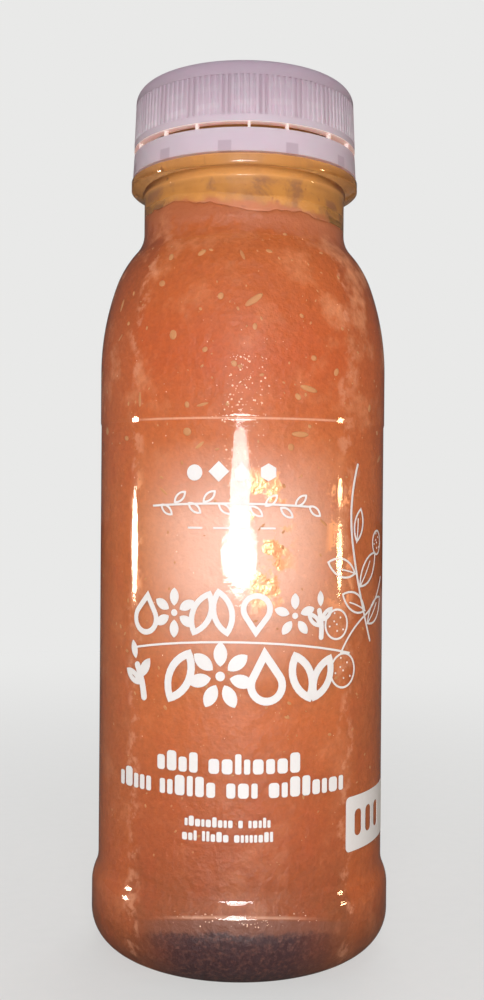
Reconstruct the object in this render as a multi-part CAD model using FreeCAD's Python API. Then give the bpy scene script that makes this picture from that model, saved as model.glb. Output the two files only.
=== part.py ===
"""A round clear PET bottle of mixed fruit juice with its tamper-evident screw cap.

Millimetres, +Z up, origin at the middle of the base on the plane that the bottle stands on.
The bottle's front faces -Y.  Four pieces: bottle, juice, froth and screw_cap.
"""
import math
import os

import FreeCAD
import Part

# bottle body, from the plane it stands on upwards
body_radius = 26.45        # upper body, just under the shoulder
panel_recess = 0.12        # the printed panel lies this far inside the upper body
bumper_proud = 1.05        # the bumper above the heel stands out from the upper body
heel_radius = 6.5          # rounding between the bumper and the standing ring
bumper_top = 11.0          # height where the bumper starts to step in
step_height = 5.5          # the soft S-shaped step from bumper to panel
panel_height = 78.6        # straight printed panel
panel_edge = 0.5           # chamfer that ends the panel
collar_height = 9.4        # plain stretch between the panel's edge and the shoulder
wall = 0.45                # blown wall of body and shoulder

# base
stand_width = 0.8          # flat ring that the bottle stands on
ring_inner_radius = 3.0    # rounding on the inside of the standing ring
push_up_slope = 52.0       # degrees, how steeply the push-up leaves the standing ring
base_wall = 1.3            # thicker material under the contents
heel_inner_radius = 8.0    # inside rounding, larger than outside, so the heel is thick
gate_radius = 1.9          # injection point left under the push-up
gate_height = 0.7

# shoulder: two convex arcs and a concave one back to the neck
sweep_radius = 46.5
sweep_turn = 19.5          # degrees
crown_radius = 18.2
shoulder_slope = 41.3      # degrees from upright where the curve turns back
neck_fillet = 6.0

# neck and its finish
neck_radius = 18.65
neck_height = 7.0          # from the shoulder's end to the support ring
bore_radius = 16.0
finish_wall = 1.6          # wall of the threaded finish
bore_taper = 6.0           # height over which the bore opens out to the neck
ring_height = 1.9          # rim of the support ring
ring_under = 0.9           # height of the cone below that rim
ring_edge = 0.25           # rounding on top of that rim
ring_overhang = 0.22       # the support ring stands out past the tamper band
rim_rounding = 0.5
bead_depth = 1.3           # tamper bead that holds the band down
bead_height = 1.3
bead_cone = 0.7

# screw thread, cut alike in finish and cap
thread_starts = 3
thread_pitch = 3.0         # from one ridge to the next along the axis
thread_turn = 150.0        # degrees that one start runs
thread_depth = 1.0
thread_root = 1.5
thread_crest = 0.6
thread_play = 0.35         # radial room between one part's crest and the other's wall
thread_seat = 0.9          # the cap's ridge lies this far below the finish's
thread_below_rim = 2.4     # top end of the finish's thread, measured to its middle

# screw cap
cap_wall = 1.43
cap_plate = 1.3
cap_edge = 2.6             # rounding between plate and skirt
cap_inner_edge = 1.1       # the same corner inside the cap
skirt_height = 11.3
skirt_draft = 0.3          # the skirt is this much narrower at its top
lip_height = 1.3           # smooth lip under the ribs
crown_band = 3.1           # smooth band above the ribs
rib_count = 120
rib_depth = 0.22
rib_land = 0.42            # share of a pitch that a rib's flat crest takes
rib_foot = 0.66            # share of a pitch at the rib's foot
vent_count = 20
vent_width = 1.3
vent_depth = 0.35
vent_below_plate = 1.5     # a vent's top end, measured from the plate's underside
plug_length = 4.0
plug_wall = 1.0
plug_play = 0.03
bridge_pairs = 8
bridge_pair_angle = 19.0   # degrees between the two bridges of a pair
bridge_turn = 11.6         # degrees that the first pair stands to the right of the front
bridge_width = 0.5
bridge_depth = 0.7
bridge_gap = 0.95          # open slit between skirt and tamper band
band_height = 4.1
band_flare = 0.25          # the band is this much wider at its lower edge
band_wall = 1.1
band_above_ring = 0.4
flap_count = 11
flap_sweep = 27.0          # degrees that one flap spans
flap_turn = 6.85           # degrees that the first flap stands to the right of the front
flap_wall = 0.5
flap_play = 0.4            # between a flap's tip and the finish
flap_drop = 0.3            # a flap's tip stops this far under the bead

# contents
level_below_ring = 5.5     # juice level under the support ring's cone
froth_floor = 3.0          # froth over the juice in the middle of the neck
froth_film = 1.5           # froth left on the wall above that
froth_film_top = 0.7
froth_height = 14.0        # how far the film climbs the wall
froth_corner = 3.0

# sizes that follow
axis_up = FreeCAD.Vector(0, 0, 1)
origin = FreeCAD.Vector(0, 0, 0)
panel_radius = body_radius - panel_recess
bumper_radius = body_radius + bumper_proud
panel_bottom = bumper_top + step_height
panel_top = panel_bottom + panel_height
shoulder_bottom = panel_top + panel_edge + collar_height
finish_radius = bore_radius + finish_wall
thread_radius = finish_radius + thread_depth
cap_bore = thread_radius + thread_play
skirt_radius = cap_bore + cap_wall + rib_depth
band_radius = skirt_radius + band_flare
ring_radius = band_radius + ring_overhang
thread_lead = thread_pitch * thread_starts


class Outline:
    """Half of a round section, drawn as radius and height from point to point."""

    def __init__(self, radius, height):
        self.start = FreeCAD.Vector(radius, 0, height)
        self.end = self.start
        self.edges = []

    def line(self, radius, height):
        point = FreeCAD.Vector(radius, 0, height)
        if point.distanceToPoint(self.end) > 1e-6:
            self.edges.append(Part.LineSegment(self.end, point).toShape())
            self.end = point
        return self

    def bend(self, radius, heading, turn):
        """An arc that leaves at heading degrees from the horizontal and turns left if turn is positive."""
        side = 90.0 if turn > 0 else -90.0
        centre = self.end + polar(radius, heading + side)
        middle = centre - polar(radius, heading + side + turn / 2.0)
        point = centre - polar(radius, heading + side + turn)
        self.edges.append(Part.Arc(self.end, middle, point).toShape())
        self.end = point
        return self

    def face(self):
        closing = [Part.LineSegment(self.end, self.start).toShape()]
        return Part.Face(Part.Wire(self.edges + closing))

    def solid(self, angle=360.0):
        return self.face().revolve(origin, axis_up, angle)


def polar(length, degrees):
    """A step of that length in the outline's plane."""
    turned = math.radians(degrees)
    return FreeCAD.Vector(length * math.cos(turned), 0, length * math.sin(turned))


def pattern(shape, count):
    """Copies of shape turned evenly about the bottle's axis."""
    copies = []
    for number in range(count):
        copy = shape.copy()
        copy.rotate(origin, axis_up, number * 360.0 / count)
        copies.append(copy)
    return copies


def shoulder_scale(inset):
    """Fits the shoulder's arcs to the step between body and neck, and keeps a wall of even thickness."""
    sweep = math.radians(sweep_turn)
    slope = math.radians(shoulder_slope)
    taken = sweep_radius * (1 - math.cos(sweep))
    taken += crown_radius * (math.cos(sweep) - math.cos(slope))
    taken += neck_fillet * (1 - math.cos(slope))
    scale = (body_radius - neck_radius) / taken
    convex = [sweep_radius * scale - inset, crown_radius * scale - inset]
    return convex + [neck_fillet * scale + inset]


def add_shoulder(outline, inset):
    """Walks the outline from the top of the body to the neck."""
    sweep, crown, fillet = shoulder_scale(inset)
    outline.bend(sweep, 90.0, sweep_turn)
    outline.bend(crown, 90.0 + sweep_turn, shoulder_slope - sweep_turn)
    outline.bend(fillet, 90.0 + shoulder_slope, -shoulder_slope)
    return outline.end.z


def add_step(outline, inset):
    """Two equal arcs that bring the wall in from the bumper to the panel."""
    offset = bumper_radius - panel_radius
    radius = (step_height ** 2 + offset ** 2) / (4.0 * offset)
    turn = math.degrees(2.0 * math.atan(offset / step_height))
    outline.bend(radius - inset, 90.0, turn)
    outline.bend(radius + inset, 90.0 + turn, -turn)


def push_up():
    """Radius and top height of the dome that rises from the standing ring's inner rounding."""
    slope = math.radians(push_up_slope)
    inner = bumper_radius - heel_radius - stand_width
    dome = inner / math.sin(slope) - ring_inner_radius
    return dome, (dome + ring_inner_radius) * (1 - math.cos(slope))


def outer_outline():
    """The outside of the bottle up to the top of the neck, from the middle of the base."""
    dome, apex = push_up()
    outline = Outline(0, apex)
    outline.bend(dome, 0.0, -push_up_slope)
    outline.bend(ring_inner_radius, -push_up_slope, push_up_slope)
    outline.line(bumper_radius - heel_radius, 0)
    outline.bend(heel_radius, 0.0, 90.0)
    outline.line(bumper_radius, bumper_top)
    add_step(outline, 0.0)
    outline.line(panel_radius, panel_top)
    outline.line(body_radius, panel_top + panel_edge)
    outline.line(body_radius, shoulder_bottom)
    add_shoulder(outline, 0.0)
    return outline


neck_bottom = outer_outline().end.z
ring_bottom = neck_bottom + neck_height
rim_bottom = ring_bottom + ring_under
ring_top = rim_bottom + ring_height
band_bottom = ring_top + band_above_ring
band_top = band_bottom + band_height
skirt_bottom = band_top + bridge_gap
cap_top = skirt_bottom + skirt_height
rim_top = cap_top - cap_plate
bead_bottom = band_top - flap_drop
juice_level = ring_bottom - level_below_ring


def finish_outline(outline):
    """Carries the outside on over neck, support ring and tamper bead to the rim."""
    outline.line(neck_radius, ring_bottom)
    outline.line(ring_radius, rim_bottom)
    outline.line(ring_radius, ring_top - ring_edge)
    outline.bend(ring_edge, 90.0, 90.0)
    outline.line(finish_radius, ring_top)
    outline.line(finish_radius, bead_bottom)
    outline.line(finish_radius + bead_depth, bead_bottom)
    outline.line(finish_radius + bead_depth, bead_bottom + bead_height - bead_cone)
    outline.line(finish_radius, bead_bottom + bead_height)
    outline.line(finish_radius, rim_top - rim_rounding)
    outline.bend(rim_rounding, 90.0, 90.0)


def cavity():
    """The space inside the bottle, from the push-up to the rim."""
    outline = Outline(0, base_wall)
    outline.line(bumper_radius - wall - heel_inner_radius, base_wall)
    outline.bend(heel_inner_radius, 0.0, 90.0)
    outline.line(bumper_radius - wall, bumper_top)
    add_step(outline, wall)
    outline.line(panel_radius - wall, panel_top)
    outline.line(body_radius - wall, panel_top + panel_edge)
    outline.line(body_radius - wall, shoulder_bottom)
    add_shoulder(outline, wall)
    outline.line(bore_radius, outline.end.z + bore_taper)
    outline.line(bore_radius, rim_top)
    outline.line(0, rim_top)
    dome, apex = push_up()
    middle = FreeCAD.Vector(0, 0, apex - dome)
    return outline.solid().cut(Part.makeSphere(dome + base_wall, middle))


def thread_ridge(radius, depth, height):
    """One start of the screw thread; depth is negative where the ridge points inwards."""
    buried = -0.2 if depth > 0 else 0.2
    rise = thread_lead * thread_turn / 360.0
    helix = Part.makeHelix(thread_lead, rise, radius)
    root = thread_root / 2.0
    crest = thread_crest / 2.0
    foot, tip = radius + buried, radius + depth
    corners = [(foot, -root), (tip, -crest), (tip, crest), (foot, root)]
    points = [FreeCAD.Vector(across, 0, along) for across, along in corners]
    section = Part.makePolygon(points + points[:1])
    ridge = Part.Wire(helix.Edges).makePipeShell([section], True, True)
    ridge.translate(FreeCAD.Vector(0, 0, height))
    return ridge


def thread_bottom():
    return rim_top - thread_below_rim - thread_lead * thread_turn / 360.0


def make_bottle():
    outline = outer_outline()
    finish_outline(outline)
    outline.line(0, rim_top)
    gate = Part.makeCylinder(gate_radius, gate_height + base_wall)
    gate.translate(FreeCAD.Vector(0, 0, outline.start.z - gate_height))
    ridges = pattern(thread_ridge(finish_radius, thread_depth, thread_bottom()), thread_starts)
    return outline.solid().multiFuse([gate] + ridges).cut(cavity()).removeSplitter()


def ribbed_wire(radius, height):
    """The skirt's toothed outline: a flat crest and a flat valley for each rib."""
    pitch = 360.0 / rib_count
    shares = [(-rib_foot, -rib_depth), (-rib_land, 0.0), (rib_land, 0.0), (rib_foot, -rib_depth)]
    points = []
    for number in range(rib_count):
        for share, out in shares:
            turned = math.radians(pitch * (number + share / 2.0))
            reach = radius + out
            points.append(FreeCAD.Vector(reach * math.cos(turned), reach * math.sin(turned), height))
    return Part.makePolygon(points + points[:1])


def skirt_shell():
    """The cap's outside as one solid plug: lip, ribbed skirt and plain crown."""
    ribs_bottom = skirt_bottom + lip_height
    ribs_top = cap_top - crown_band
    top_radius = skirt_radius - skirt_draft
    lip = Part.makeCylinder(skirt_radius, lip_height)
    lip.translate(FreeCAD.Vector(0, 0, skirt_bottom))
    wires = [ribbed_wire(skirt_radius, ribs_bottom), ribbed_wire(top_radius, ribs_top)]
    ribs = Part.makeLoft(wires, True, True)
    crown = Outline(0, ribs_top)
    crown.line(top_radius, ribs_top)
    crown.line(top_radius, cap_top - cap_edge)
    crown.bend(cap_edge, 90.0, 90.0)
    crown.line(0, cap_top)
    return lip.multiFuse([ribs, crown.solid()])


def skirt_hollow():
    hollow = Outline(0, skirt_bottom)
    hollow.line(cap_bore, skirt_bottom)
    hollow.line(cap_bore, rim_top - cap_inner_edge)
    hollow.bend(cap_inner_edge, 90.0, 90.0)
    hollow.line(0, rim_top)
    return hollow.solid()


def vents():
    """Upright grooves that break the cap's thread and thin its wall."""
    reach = thread_depth * 1.5
    vent_height = rim_top - vent_below_plate - skirt_bottom - lip_height
    vent = Part.makeBox(reach + vent_depth, vent_width, vent_height)
    vent.translate(FreeCAD.Vector(cap_bore - reach, -vent_width / 2.0, skirt_bottom + lip_height))
    vent.rotate(origin, axis_up, 180.0 / vent_count)
    return pattern(vent, vent_count)


def plug_seal():
    """The ring under the plate that closes the bore."""
    outer = bore_radius - plug_play
    inner = outer - plug_wall
    seal = Outline(inner, rim_top + cap_plate / 2.0)
    seal.line(outer, rim_top + cap_plate / 2.0)
    seal.line(outer, rim_top - plug_length / 2.0)
    seal.line(outer - plug_wall / 2.0, rim_top - plug_length)
    seal.line(inner, rim_top - plug_length)
    return seal.solid()


def tamper_band():
    outline = Outline(band_radius - band_wall, band_bottom)
    outline.line(band_radius, band_bottom)
    outline.line(skirt_radius, band_top)
    outline.line(band_radius - band_wall, band_top)
    return outline.solid()


def flap():
    """A barb that leans in from the band's lower edge and hooks under the bead."""
    foot = band_radius - band_wall + 0.1
    tip = finish_radius + flap_play
    tip_height = bead_bottom - flap_drop
    outline = Outline(foot, band_bottom + flap_wall / 2.0)
    outline.line(tip, tip_height - flap_wall)
    outline.line(tip, tip_height)
    outline.line(tip + flap_wall / 2.0, tip_height)
    outline.line(foot, band_bottom + 2.5 * flap_wall)
    barb = outline.solid(flap_sweep)
    barb.rotate(origin, axis_up, flap_turn - 90.0 - flap_sweep / 2.0)
    return barb


def bridges():
    """Pairs of thin webs across the slit; they tear when the cap is first turned."""
    sunk = 0.2
    webs = []
    for side in (-0.5, 0.5):
        web = Part.makeBox(bridge_depth, bridge_width, bridge_gap + 2.0 * sunk)
        web.translate(FreeCAD.Vector(skirt_radius - bridge_depth - 0.1, -bridge_width / 2.0, band_top - sunk))
        web.rotate(origin, axis_up, bridge_turn - 90.0 + side * bridge_pair_angle)
        webs += pattern(web, bridge_pairs)
    return webs


def make_screw_cap():
    ridge_height = thread_bottom() - thread_seat
    ridges = pattern(thread_ridge(cap_bore, -thread_depth, ridge_height), thread_starts)
    skirt = skirt_shell().cut(skirt_hollow()).multiFuse(ridges).cut(Part.makeCompound(vents()))
    pieces = [plug_seal(), tamper_band()] + pattern(flap(), flap_count) + bridges()
    return skirt.multiFuse(pieces).removeSplitter()


def slice_of(space, bottom, top):
    block = Part.makeCylinder(body_radius * 2.0, top - bottom)
    block.translate(FreeCAD.Vector(0, 0, bottom))
    return space.common(block)


def make_juice():
    return slice_of(cavity(), -1.0, juice_level)


def make_froth():
    """A floor of froth on the juice and the film that it leaves up the wall."""
    floor = juice_level + froth_floor
    top = juice_level + froth_height
    film = bore_radius - froth_film
    hollow = Outline(0, floor)
    hollow.line(film - froth_corner, floor)
    hollow.bend(froth_corner, 0.0, 90.0)
    hollow.line(bore_radius - froth_film_top, top)
    hollow.line(0, top)
    return slice_of(cavity(), juice_level, top).cut(hollow.solid())


def main():
    os.makedirs("parts", exist_ok=True)
    makers = {"bottle": make_bottle, "juice": make_juice, "froth": make_froth, "screw_cap": make_screw_cap}
    for node, make in makers.items():
        shape = make()
        solid = shape.Solids[0]
        print(node, "solids", len(shape.Solids), "valid", solid.isValid(), "volume %.1f" % solid.Volume)
        solid.exportStep("parts/" + node + ".step")
    print("neck %.2f ring %.2f level %.2f" % (neck_bottom, ring_top, juice_level))
    print("rim %.2f top %.2f ring radius %.2f skirt radius %.2f" % (rim_top, cap_top, ring_radius, skirt_radius))


main()
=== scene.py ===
import math
import random
from functools import partial

import bmesh
import bpy
from mathutils import Matrix, Vector, noise
from mathutils.bvhtree import BVHTree


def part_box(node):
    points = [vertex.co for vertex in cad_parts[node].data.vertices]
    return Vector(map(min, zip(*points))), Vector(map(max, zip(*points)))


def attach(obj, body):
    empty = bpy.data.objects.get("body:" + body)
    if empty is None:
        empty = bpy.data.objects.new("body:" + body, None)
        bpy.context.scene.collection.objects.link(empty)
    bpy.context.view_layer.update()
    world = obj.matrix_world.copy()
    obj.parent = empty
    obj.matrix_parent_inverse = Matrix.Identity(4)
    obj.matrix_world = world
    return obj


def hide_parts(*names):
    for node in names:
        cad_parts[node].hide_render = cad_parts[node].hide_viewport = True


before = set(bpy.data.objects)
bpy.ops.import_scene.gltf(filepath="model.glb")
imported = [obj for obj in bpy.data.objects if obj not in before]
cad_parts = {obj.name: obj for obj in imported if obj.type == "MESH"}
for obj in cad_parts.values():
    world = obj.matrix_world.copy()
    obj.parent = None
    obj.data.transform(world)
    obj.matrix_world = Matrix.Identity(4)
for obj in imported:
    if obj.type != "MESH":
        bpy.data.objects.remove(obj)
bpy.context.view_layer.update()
mm = 0.001


def hexColour(code):  # sRGB hex to linear RGBA
    parts = [int(code[i:i + 2], 16) / 255 for i in (1, 3, 5)]
    return tuple(p / 12.92 if p < 0.04045 else ((p + 0.055) / 1.055) ** 2.4 for p in parts) + (1.0,)


def greys(stops):  # settings of a ramp through greys: position and value of each stop
    return {"stops": [(place, (share, share, share, 1)) for place, share in stops]}


def perMetre(size):  # texture scale for a feature of that many millimetres
    return 1.0 / (size * mm)


def addNode(tree, kind, settings=None, inputs=()):  # inputs by name, or as values in socket order
    made = tree.nodes.new("ShaderNode" + kind)
    for name, value in (settings or {}).items():
        if name == "stops":  # colour ramp: position and colour of each stop
            while len(made.color_ramp.elements) < len(value):
                made.color_ramp.elements.new(1.0)
            for stop, (place, colour) in zip(made.color_ramp.elements, value):
                stop.position = place
                stop.color = colour
        else:
            setattr(made, name, value)
    if isinstance(inputs, tuple):
        usable = [number for number, socket in enumerate(made.inputs) if socket.enabled]
        inputs = dict(zip(usable, inputs))
    for key, value in inputs.items():
        if isinstance(value, bpy.types.Node):  # a node stands for its first result
            value = next(socket for socket in value.outputs if socket.enabled)
        elif isinstance(value, str):
            value = hexColour(value)
        if isinstance(value, bpy.types.NodeSocket):
            tree.links.new(value, made.inputs[key])
        else:
            made.inputs[key].default_value = value
    return made


# settings that many nodes share
smooth = {"interpolation_type": "SMOOTHSTEP"}
rgba = {"data_type": "RGBA"}
times, timesPlus, plus, minus, absolute, fraction = ({"operation": name} for name in (
    "MULTIPLY", "MULTIPLY_ADD", "ADD", "SUBTRACT", "ABSOLUTE", "FRACT"))


def newMaterial(name):
    made = bpy.data.materials.new(name)
    made.use_nodes = True
    made.node_tree.nodes.clear()
    return made, partial(addNode, made.node_tree)


def finishMesh(bm, name, material, rounded=True):
    mesh = bpy.data.meshes.new(name)
    bm.to_mesh(mesh)
    bm.free()
    mesh.materials.append(material)
    for face in mesh.polygons:
        face.use_smooth = rounded
    piece = bpy.data.objects.new(name, mesh)
    bpy.context.scene.collection.objects.link(piece)
    return piece


class Profile:  # half a round section, walked with lines and arcs, in millimetres
    def __init__(self, radius, height):
        self.bm = bmesh.new()
        self.last = self.bm.verts.new((radius, 0, height))

    def line(self, radius, height):
        made = bmesh.ops.extrude_vert_indiv(self.bm, verts=[self.last])
        self.last = made["verts"][0]
        self.last.co = (radius, 0, height)

    def straight(self, radius, height, steps):  # a line with points along it
        start = self.last.co.copy()
        for number in range(1, steps + 1):
            place = start.lerp(Vector((radius, 0, height)), number / steps)
            self.line(place.x, place.z)

    def bend(self, radius, heading, turn, steps):  # leaves at heading degrees, turns left if turn > 0
        side = math.radians(heading + math.copysign(90, turn))
        centre = self.last.co + radius * Vector((math.cos(side), 0, math.sin(side)))
        made = bmesh.ops.spin(self.bm, geom=[self.last], cent=centre, axis=(0, -1, 0),
                              angle=math.radians(turn), steps=steps)
        self.last = [v for v in made["geom_last"] if isinstance(v, bmesh.types.BMVert)][0]

    def ahead(self, length, heading):  # a straight run along a heading
        way = math.radians(heading)
        self.line(self.last.co.x + length * math.cos(way), self.last.co.z + length * math.sin(way))

    def filled(self):  # closes the walk into one flat face
        bmesh.ops.remove_doubles(self.bm, verts=self.bm.verts, dist=1e-3)
        bmesh.ops.contextual_create(self.bm, geom=list(self.bm.verts) + list(self.bm.edges))
        return self.bm

    def turned(self, steps):  # the whole round body, in metres, seams closed
        edges = list(self.bm.verts) + list(self.bm.edges)
        bmesh.ops.spin(self.bm, geom=edges, cent=(0, 0, 0), axis=(0, 0, 1), angle=math.tau,
                       steps=steps, use_merge=True)
        bmesh.ops.remove_doubles(self.bm, verts=self.bm.verts, dist=1e-4)
        bmesh.ops.dissolve_degenerate(self.bm, edges=self.bm.edges, dist=1e-5)
        bmesh.ops.recalc_face_normals(self.bm, faces=self.bm.faces)
        bmesh.ops.scale(self.bm, verts=self.bm.verts, vec=(mm, mm, mm))
        return self.bm


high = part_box("bottle")[1]
bottleSizes = {
    "bumper": high.x / mm,        # radius of the bumper, the widest place
    "body": high.x / mm - 1.05,
    "panel": high.x / mm - 1.17,  # a little sunk for the print
    "heel": 6.5,
    "heelInside": 8.0,
    "standWidth": 0.8,
    "ringInside": 3.0,
    "pushUpSlope": 52.0,
    "baseWall": 1.3,
    "bumperTop": 11.0,
    "stepHeight": 5.5,
    "panelTop": 95.1,
    "panelEdge": 0.5,
    "firm": 0.4,                  # points this near to a step keep its bend out of the wall
    "shoulderBottom": 105.0,
    "neck": 18.65,
    "neckHeight": 7.0,
    "bore": 16.0,
    "finish": 17.6,
    "boreTaper": 6.0,
    "supportRing": 21.07,
    "ringUnder": 0.8,
    "ringHeight": 2.0,
    "ringEdge": 0.25,             # slope at the ring's rim
    "ringFillet": 0.4,
    "wall": 0.45,
    "rim": high.z / mm,
    "spinSteps": 256,
}
shoulderArcs = {"sweep": (46.5, 19.5), "crown": (18.2, 21.8), "fillet": (6.0, -41.3)}


def shoulderFit(sizes):  # scale that fits the three arcs between body and neck, and the neck's foot
    lean, inward, upward = 0.0, 0.0, 0.0
    for radius, turn in shoulderArcs.values():
        after = lean + math.radians(turn)
        inward += radius * abs(math.cos(lean) - math.cos(after))
        upward += radius * abs(math.sin(after) - math.sin(lean))
        lean = after
    scale = (sizes["body"] - sizes["neck"]) / inward
    return scale, sizes["shoulderBottom"] + scale * upward


def walkShoulder(profile, sizes, inset):
    heading = 90.0
    scale = shoulderFit(sizes)[0]
    for radius, turn in shoulderArcs.values():
        own = radius * scale - math.copysign(inset, turn)
        profile.bend(own, heading, turn, 14)
        heading += turn


def walkBody(profile, sizes, inset):  # from the heel's top to the end of the shoulder
    profile.straight(sizes["bumper"] - inset, sizes["bumperTop"], 5)
    offset = sizes["bumper"] - sizes["panel"]
    radius = (sizes["stepHeight"] ** 2 + offset ** 2) / (4 * offset)
    turn = math.degrees(2 * math.atan(offset / sizes["stepHeight"]))
    profile.bend(radius - inset, 90, turn, 8)
    profile.bend(radius + inset, 90 + turn, -turn, 8)
    profile.line(sizes["panel"] - inset, profile.last.co.z + sizes["firm"])
    profile.straight(sizes["panel"] - inset, sizes["panelTop"] - sizes["firm"], 12)
    profile.line(sizes["panel"] - inset, sizes["panelTop"])
    profile.line(sizes["body"] - inset, sizes["panelTop"] + sizes["panelEdge"])
    profile.line(sizes["body"] - inset, sizes["panelTop"] + sizes["panelEdge"] + sizes["firm"])
    profile.line(sizes["body"] - inset, sizes["shoulderBottom"] - sizes["firm"])
    profile.line(sizes["body"] - inset, sizes["shoulderBottom"])
    walkShoulder(profile, sizes, inset)


def pushUp(sizes):
    slope = math.radians(sizes["pushUpSlope"])
    inner = sizes["bumper"] - sizes["heel"] - sizes["standWidth"]
    dome = inner / math.sin(slope) - sizes["ringInside"]
    return dome, (dome + sizes["ringInside"]) * (1 - math.cos(slope))


def walkFloor(profile, sizes, inset, lift):  # inside of the base, from the middle out to the heel's top
    dome, apex = pushUp(sizes)
    dome += lift
    middle = apex + lift - dome
    heel = sizes["heelInside"]
    centre = Vector((sizes["bumper"] - inset - heel, 0, lift + heel))
    across = centre.x
    away = math.hypot(across, centre.z - middle)
    lean = math.atan2(centre.z - middle, across)
    meet = math.acos((dome ** 2 + away ** 2 - heel ** 2) / (2 * dome * away))
    reach = math.degrees(math.pi / 2 - (lean - meet))
    profile.bend(dome, 0, -reach, 24)
    start = profile.last.co - centre
    heading = math.degrees(math.atan2(start.z, start.x)) + 90
    profile.bend(heel, heading, 90 - heading, 12)


def buildBottle(material):
    sizes = bottleSizes
    dome, apex = pushUp(sizes)
    profile = Profile(0, apex)
    profile.bend(dome, 0, -sizes["pushUpSlope"], 20)
    profile.bend(sizes["ringInside"], -sizes["pushUpSlope"], sizes["pushUpSlope"], 8)
    profile.line(sizes["bumper"] - sizes["heel"], 0)
    profile.bend(sizes["heel"], 0, 90, 14)
    walkBody(profile, sizes, 0)
    ringFoot = profile.last.co.z + sizes["neckHeight"]
    ringUnder = ringFoot + sizes["ringUnder"]
    ringTop = ringUnder + sizes["ringHeight"]
    edge = sizes["ringEdge"]
    profile.line(sizes["neck"], ringFoot - sizes["ringFillet"])
    profile.bend(sizes["ringFillet"], 90, -60, 4)
    profile.line(sizes["supportRing"] - edge, ringUnder)
    profile.line(sizes["supportRing"], ringUnder + edge)
    profile.line(sizes["supportRing"], ringTop - edge)
    profile.line(sizes["supportRing"] - edge, ringTop)
    profile.line(sizes["finish"], ringTop)
    profile.line(sizes["finish"], sizes["rim"])
    profile.line(sizes["bore"], sizes["rim"])
    neckEnd = ringFoot - sizes["neckHeight"]
    profile.line(sizes["bore"], neckEnd + sizes["boreTaper"])
    # the inner wall is walked from below and joined to the outer one in the bore
    inner = Profile(0, apex + sizes["baseWall"])
    walkFloor(inner, sizes, sizes["wall"], sizes["baseWall"])
    walkBody(inner, sizes, sizes["wall"])
    inner.line(sizes["bore"], neckEnd + sizes["boreTaper"])
    mesh = bpy.data.meshes.new("innerWall")
    inner.bm.to_mesh(mesh)
    inner.bm.free()
    profile.bm.from_mesh(mesh)
    bpy.data.meshes.remove(mesh)
    bmesh.ops.remove_doubles(profile.bm, verts=profile.bm.verts, dist=1e-3)
    return finishMesh(profile.turned(sizes["spinSteps"]), "bottleWall", material)


contentSizes = {
    "intoWall": 0.12,  # contents reach this far into the wall
    "level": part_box("juice")[1].z / mm,
    "wave": 1.1,       # how unevenly the froth meets the juice
    "lean": 1.4,       # the line sinks this far to the right
    "sinkLimit": 1.0,  # and stays above the foot of the neck's taper
    "edgeFrom": 13.5,  # the uneven line moves the juice's skin outside this radius
    "wallFrom": 15.5,  # and pulls it in along the neck's taper outside this one
    "frothSkin": 15.6,
    "frothTop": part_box("froth")[1].z / mm,
    "frothFoot": 0.8,  # the froth reaches this far below the level
    "frothGap": 0.04,  # between its foot and the juice's wall
    "frothFloor": 3.0,
    "frothLip": 0.7,
    "film": 1.5,
}
waveNoise = ((1.7, 1.0), (5.3, 0.5), (14, 0.3))  # scale and share of each noise in the line


def levelWave(angle):  # uneven line between juice and froth round the neck, in millimetres
    place = Vector((math.cos(angle), math.sin(angle), 0.3))
    rough = sum(share * noise.noise(place * scale) for scale, share in waveNoise)
    sunk = contentSizes["wave"] * rough - contentSizes["lean"] * math.cos(angle)
    return max(sunk, -contentSizes["sinkLimit"])


def followWall(vert, taper, share):  # moves an edge vertex with the line, along the tapering wall
    rise = share * levelWave(math.atan2(vert.co.y, vert.co.x)) * mm
    radius = vert.co.xy.length
    pull = 1 - taper * rise / radius if radius > contentSizes["wallFrom"] * mm else 1
    vert.co = (vert.co.x * pull, vert.co.y * pull, vert.co.z + rise)


juiceColours = {
    # both ramps are painted darker towards the bottom as shade; the side ramp is partly painted shade
    # of sides turning from the light, partly juice with no film
    "front": ((3, "#7a4125"), (13, "#87451f"), (24, "#9c4d24"), (44, "#ad5c2c"), (75, "#b36d3b"),
              (105, "#ab501e"), (122, "#a55421")),  # height in mm and colour there, behind the film
    "side": ((3, "#7e4428"), (14, "#a35120"), (40, "#a05326"), (75, "#ae5d2c"), (105, "#a85322"),
             (122, "#94481e")),
    "pulp": "#c8865e",
    "red": "#a64825",
    "shore": "#c98b6a",    # pulp left along the edge of the film
    "haze": "#e3bfb1",     # painted glow of light round the front highlight
    "edge": "#f0c8ae",     # painted line of light along the panel's top edge
    # painted golden sheen of the crumpled patches round the highlights
    "glossAndPaintedSheen": "#f2ab7c",
    "stirred": "#a45d3a",  # where juice and froth mix
    "bits": ("#aa6f45", "#c19362"),
    # painted near-white glints of the air bubble specks
    "paintedBubbleGlints": ("#f2b48c", "#fff4e6"),
}

juiceLook = {
    "rampTop": 160.0,           # height of the end of every ramp that climbs the bottle
    "wobble": 16.0,             # how far the film's edge wanders, in degrees
    "film": (48.0, 57.0),       # degrees from the front at which the clinging film fades out
    "shore": 52.0,              # and at which pulp clings along its edge
    "paintedGlowAcross": (50.0, 8.0),  # degrees from the front between which the painted glow sets in
    "hazeUp": ((0.32, 0), (0.43, 1), (0.49, 1), (0.575, 0)),  # shares of rampTop
    "foilMiddle": 75.0,         # height of the golden patches
    "foilHalf": (14.0, 8.0),    # how far off it they are gone, and whole
    "foilAcross": (             # where they lie between the left side and the right side
        (0.235, 0), (0.25, 0.7), (0.265, 0.7), (0.28, 0), (0.47, 0), (0.52, 1),
        (0.58, 1), (0.62, 0), (0.68, 0), (0.7, 1), (0.74, 1), (0.77, 0)),
}

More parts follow.
